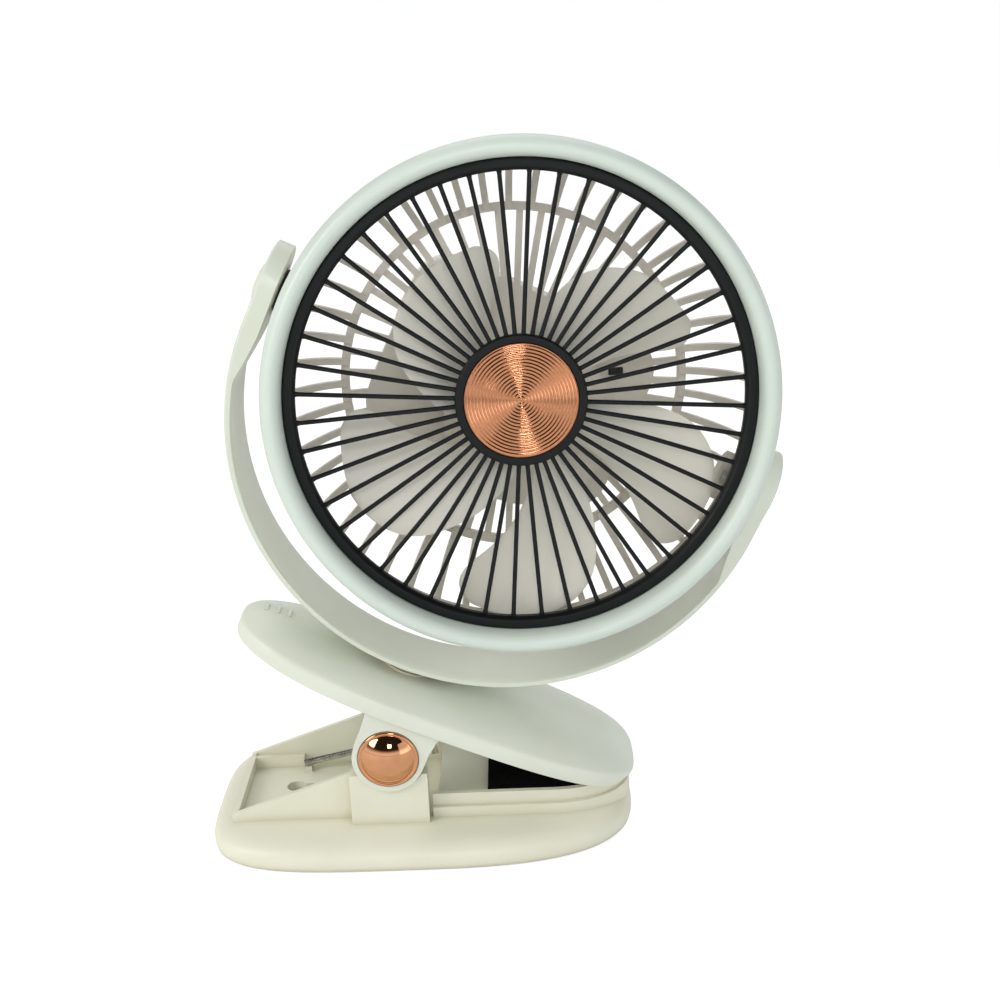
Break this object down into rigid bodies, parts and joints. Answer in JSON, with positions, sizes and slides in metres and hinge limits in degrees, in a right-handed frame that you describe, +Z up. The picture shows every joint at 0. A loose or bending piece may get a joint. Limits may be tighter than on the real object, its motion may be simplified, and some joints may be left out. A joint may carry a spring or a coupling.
{
  "type": "clip-on camping fan",
  "caption": "Portable clip-on fan: spring clip base, C-shaped swivel yoke and tilting round head with black radial grille, rose-gold badge and battery pod.",
  "frame": {"origin": "centre of the clip base's underside", "axes": "+Z up, the grille faces -Y, the clip's nose points along +X, and the head's tilt axis leans 25.8 degrees nose-down in the XZ plane"},
  "size_m": [0.1954, 0.0985, 0.2321],
  "materials": {
    "ivory_shell": "satin moulded ABS, warm ivory",
    "offwhite_shell": "satin moulded ABS, off-white",
    "mint_shell": "satin moulded ABS, pale mint white",
    "beige_shell": "fine-grained moulded ABS, grey beige",
    "rotor_plastic": "moulded polypropylene, light grey beige",
    "grille_black": "satin black ABS",
    "rose_gold": "plated rose gold, polished",
    "turned_rose_gold": "plated rose gold with fine turned grooves",
    "pad_rubber": "moulded rubber",
    "washer_rubber": "moulded nylon and rubber",
    "spring_steel": "drawn spring wire",
    "zinc_steel": "zinc-plated steel",
    "blued_steel": "blued spring steel",
    "bronze": "sintered bronze",
    "copper_windings": "varnished copper wire",
    "black_plastic": "moulded nylon",
    "board": "solder mask over glass fibre",
    "cell_wrap": "shrink wrap over a steel can",
    "clear_pipe": "clear acrylic"
  },
  "bodies": {
    "base": {"base": "ivory_shell", "lower_jaw_pad": "pad_rubber", "torsion_spring": "spring_steel"},
    "jaw": {"upper_jaw": "offwhite_shell", "upper_jaw_pad": "pad_rubber", "hinge_pin": "zinc_steel", "hinge_cap_front": "rose_gold", "hinge_cap_back": "rose_gold", "swivel_washer": "ivory_shell"},
    "yoke": {"yoke": "offwhite_shell", "tilt_caps": "offwhite_shell", "swivel_screw": "zinc_steel", "swivel_spring_washer": "blued_steel"},
    "head": {"tilt_screws": "zinc_steel", "tilt_washers": "washer_rubber", "bezel": "mint_shell", "front_grille": "grille_black", "centre_badge": "turned_rose_gold", "rear_housing": "beige_shell", "bezel_screws": "zinc_steel", "lead_grommet": "black_plastic", "pod_cover": "beige_shell", "pod_screws": "zinc_steel", "motor_can": "zinc_steel", "motor_end_bell": "black_plastic", "motor_screws": "zinc_steel", "front_bush": "bronze", "rear_bush": "bronze", "battery_cell": "cell_wrap", "battery_contacts": "zinc_steel", "circuit_board": "board", "usb_socket": "zinc_steel", "button_switch": "black_plastic", "light_pipe": "clear_pipe"},
    "rotor": {"rotor": "rotor_plastic", "rotor_cap": "rotor_plastic", "motor_shaft": "zinc_steel", "armature": "copper_windings"},
    "button": {"power_button": "mint_shell"}
  },
  "joints": [
    {"name": "clip_open", "type": "hinge", "parent": "base", "child": "jaw", "pos_m": [-0.0093, 0, 0.0342], "axis": [0, -1, 0], "range_deg": [0, 32], "stiffness_Nm_per_rad": 1.1, "springref_deg": -51.57, "deforming": ["torsion_spring"]},
    {"name": "yoke_swivel", "type": "hinge", "parent": "jaw", "child": "yoke", "pos_m": [-0.00371, 0, 0.05532], "axis": [0.3987, 0, 0.9171], "continuous": true},
    {"name": "head_tilt", "type": "hinge", "parent": "yoke", "child": "head", "pos_m": [0.03813, 0, 0.15031], "axis": [0.9003, 0, -0.4352], "continuous": true},
    {"name": "fan_spin", "type": "hinge", "parent": "head", "child": "rotor", "pos_m": [0.04167, -0.00099, 0.1381], "axis": [-0.0455, 0.9945, -0.0941], "continuous": true},
    {"name": "power_press", "type": "slide", "parent": "head", "child": "button", "axis": [0.0455, -0.9945, 0.0941], "range_m": [0, 0.0008], "stiffness_N_per_m": 900, "springref_m": -0.0006}
  ]
}
